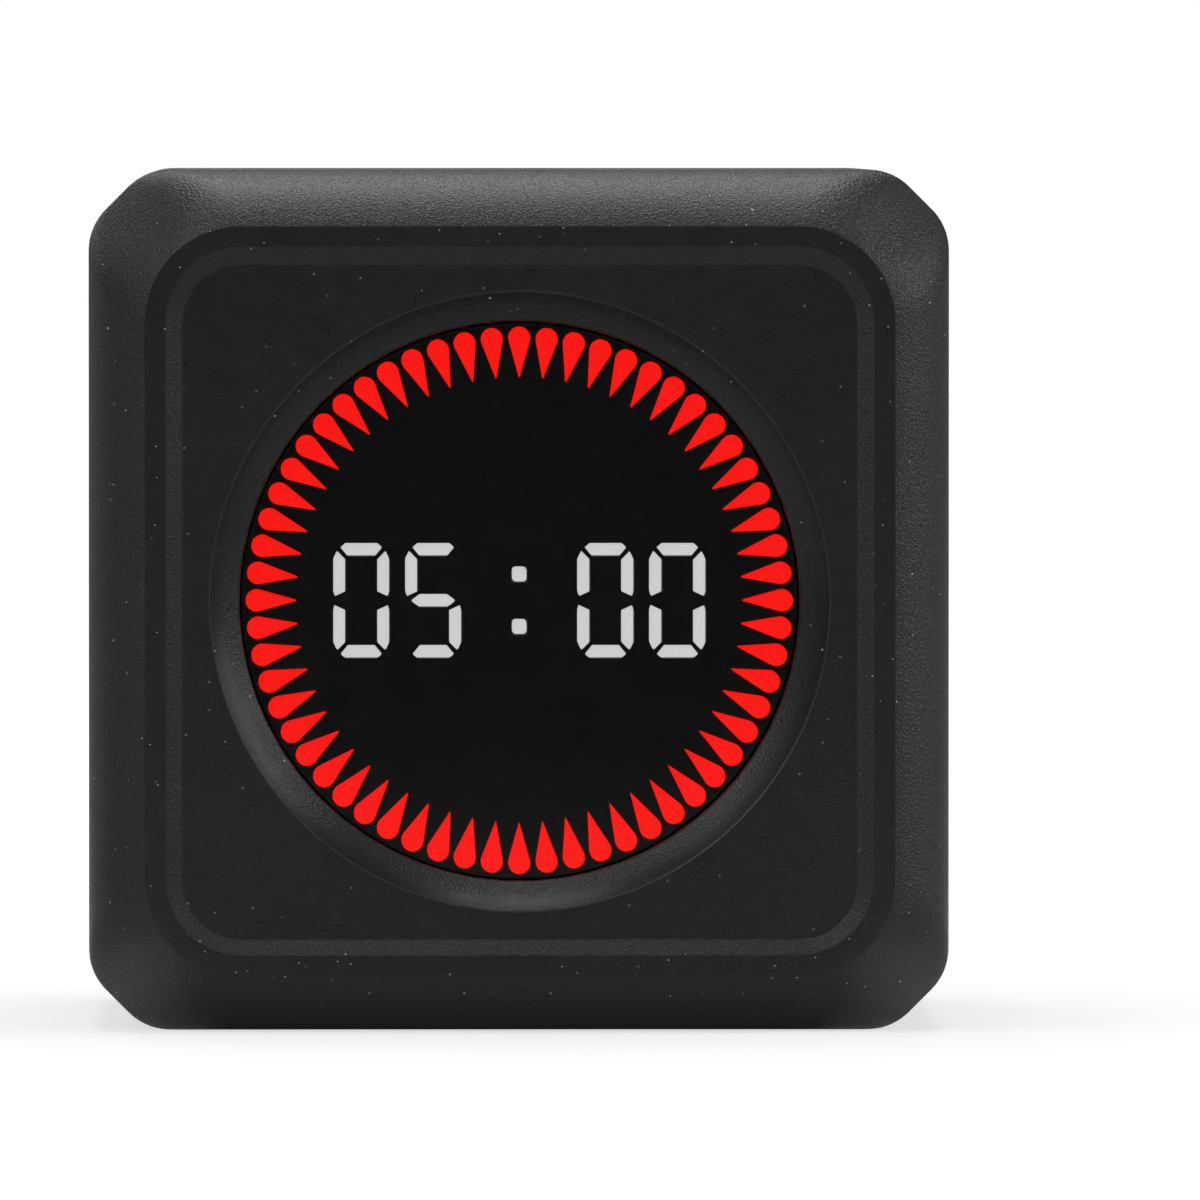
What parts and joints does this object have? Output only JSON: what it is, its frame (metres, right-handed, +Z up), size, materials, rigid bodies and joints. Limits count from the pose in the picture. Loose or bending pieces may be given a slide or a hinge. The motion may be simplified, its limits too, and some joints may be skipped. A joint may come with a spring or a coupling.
{
  "type": "cube timer",
  "caption": "Black bevelled cube timer with a round lit display in its front face, number marks on its sides, and push buttons, a slide switch and a charging socket on its back.",
  "frame": {"origin": "centre of the base face that the cube stands on", "axes": "+Z up; the display faces -Y; +X to the right as seen from the front"},
  "size_m": [0.065, 0.065, 0.065],
  "materials": {
    "shell": "fine moulded grain",
    "button": "fine satin",
    "side_number": "matt inlay",
    "lens": "smoked, polished",
    "light_block": "matt black",
    "red_resin": "lit red resin",
    "white_resin": "lit white resin",
    "dark_resin": "unlit resin behind a smoked lens",
    "board": "solder mask",
    "lamp": "moulded lamp",
    "chip": "moulded",
    "steel": "plated",
    "black_screw": "black oxide",
    "socket_metal": "nickel plated",
    "foam_black": "closed-cell foam",
    "foam_white": "closed-cell foam",
    "cell_foil": "laminated foil",
    "ivory": "moulded",
    "ribbon": "flat cable",
    "wire_red": "insulation",
    "wire_black": "insulation"
  },
  "bodies": {
    "case": {"front_shell": "shell", "rear_cover": "shell", "case_screws": "black_screw", "side_numbers": "side_number", "display_lens": "lens", "light_block": "light_block", "minute_drops": "red_resin", "lit_segments": "white_resin", "unlit_segments": "dark_resin", "colon_dots": "white_resin", "light_seal": "foam_black", "display_board": "board", "drop_leds": "lamp", "digit_leds": "lamp", "display_screws": "steel", "main_board": "board", "board_screws": "steel", "microcontroller": "chip", "tilt_sensor": "chip", "charge_chip": "chip", "sounder": "chip", "sounder_seal": "foam_black", "socket_shell": "socket_metal", "socket_tongue": "chip", "mode_switch_base": "chip", "sound_switch_base": "chip", "power_switch_case": "steel", "cell": "cell_foil", "cell_pad_foam": "foam_white", "cell_plug": "ivory", "cell_wire_red": "wire_red", "cell_wire_black": "wire_black", "display_ribbon": "ribbon", "display_ribbon_socket": "ivory", "main_ribbon_socket": "ivory"},
    "mode_button": {"mode_button_cap": "button", "mode_switch_plunger": "ivory"},
    "sound_button": {"sound_button_cap": "button", "sound_switch_plunger": "ivory"},
    "power_switch": {"power_knob": "button", "power_slider": "ivory"}
  },
  "joints": [
    {"name": "mode_button_press", "type": "slide", "parent": "case", "child": "mode_button", "axis": [0, -1, 0], "range_m": [0, 0.0004], "stiffness_N_per_m": 2000},
    {"name": "sound_button_press", "type": "slide", "parent": "case", "child": "sound_button", "axis": [0, -1, 0], "range_m": [0, 0.0004], "stiffness_N_per_m": 2000},
    {"name": "power_switch_slide", "type": "slide", "parent": "case", "child": "power_switch", "axis": [1, 0, 0], "range_m": [-0.002, 0]}
  ]
}
